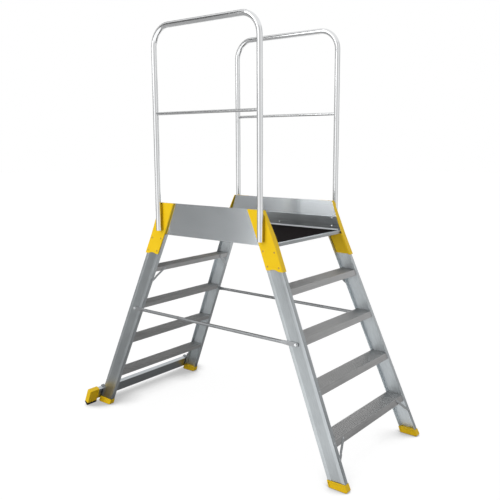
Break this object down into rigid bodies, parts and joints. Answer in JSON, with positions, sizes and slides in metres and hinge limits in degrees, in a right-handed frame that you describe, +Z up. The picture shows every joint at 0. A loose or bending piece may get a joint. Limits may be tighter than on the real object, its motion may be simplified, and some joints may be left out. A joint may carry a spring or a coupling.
{
  "type": "double-sided step platform",
  "caption": "Free-standing work platform with a flight of steps at each end, a dark deck between kick plates, and a bent-tube guard rail along each side.",
  "frame": {"origin": "on the floor, at the middle of the object's footprint box", "axes": "+Z up; X along the walkway from one flight to the other, with the stabiliser bar on the -X flight; Y across the walkway"},
  "size_m": [1.8472, 0.979, 2.26],
  "materials": {
    "stile_aluminium": "extruded, mill finish with fine lengthwise drawing lines",
    "tread_aluminium": "extruded, ribbed top, mill finish",
    "edge_aluminium": "extruded, mill finish",
    "rail_aluminium": "extruded, dull dark grey",
    "sheet_aluminium": "rolled sheet, mill finish",
    "tube_aluminium": "bent tube, brightened",
    "rod_aluminium": "drawn, bright",
    "brace_aluminium": "drawn tube, mill finish",
    "bar_aluminium": "extruded, mill finish",
    "bracket_plastic": "moulded, satin yellow",
    "foot_plastic": "moulded, deep yellow",
    "deck_board": "dark phenolic-faced plywood with a pressed grip pattern",
    "strap_steel": "zinc plated",
    "hanger_steel": "zinc plated, dulled",
    "screw_steel": "zinc plated, dark",
    "rivet_aluminium": "pressed",
    "sole_rubber": "moulded, matt black"
  },
  "bodies": {
    "root": {"bar_hanger_far": "hanger_steel", "bar_hanger_near": "hanger_steel", "bar_shoe_far": "foot_plastic", "bar_shoe_near": "foot_plastic", "brace_bolts": "screw_steel", "brace_far": "brace_aluminium", "brace_near": "brace_aluminium", "bracket_far_left": "bracket_plastic", "bracket_far_right": "bracket_plastic", "bracket_near_left": "bracket_plastic", "bracket_near_right": "bracket_plastic", "bracket_screws": "screw_steel", "deck_nosing_left": "edge_aluminium", "deck_nosing_right": "edge_aluminium", "deck_panel": "deck_board", "deck_rail_far": "rail_aluminium", "deck_rail_near": "rail_aluminium", "deck_rivets": "rivet_aluminium", "foot_far_left": "foot_plastic", "foot_far_right": "foot_plastic", "foot_near_left": "foot_plastic", "foot_near_right": "foot_plastic", "guard_hoop_far": "tube_aluminium", "guard_hoop_near": "tube_aluminium", "hanger_bolts": "screw_steel", "kick_plate_far": "sheet_aluminium", "kick_plate_near": "sheet_aluminium", "low_strap_far_left": "strap_steel", "low_strap_far_right": "strap_steel", "low_strap_near_left": "strap_steel", "low_strap_near_right": "strap_steel", "mid_rail_far": "rod_aluminium", "mid_rail_near": "rod_aluminium", "post_bolts": "screw_steel", "shoe_sole_far": "sole_rubber", "shoe_sole_near": "sole_rubber", "stabiliser_bar": "bar_aluminium", "step_1_left": "tread_aluminium", "step_1_right": "tread_aluminium", "step_2_left": "tread_aluminium", "step_2_right": "tread_aluminium", "step_3_left": "tread_aluminium", "step_3_right": "tread_aluminium", "step_4_left": "tread_aluminium", "step_4_right": "tread_aluminium", "step_rivets": "rivet_aluminium", "stile_far_left": "stile_aluminium", "stile_far_right": "stile_aluminium", "stile_near_left": "stile_aluminium", "stile_near_right": "stile_aluminium", "strap_rivets": "rivet_aluminium", "top_strap_far_left": "strap_steel", "top_strap_far_right": "strap_steel", "top_strap_near_left": "strap_steel", "top_strap_near_right": "strap_steel"}
  },
  "joints": []
}
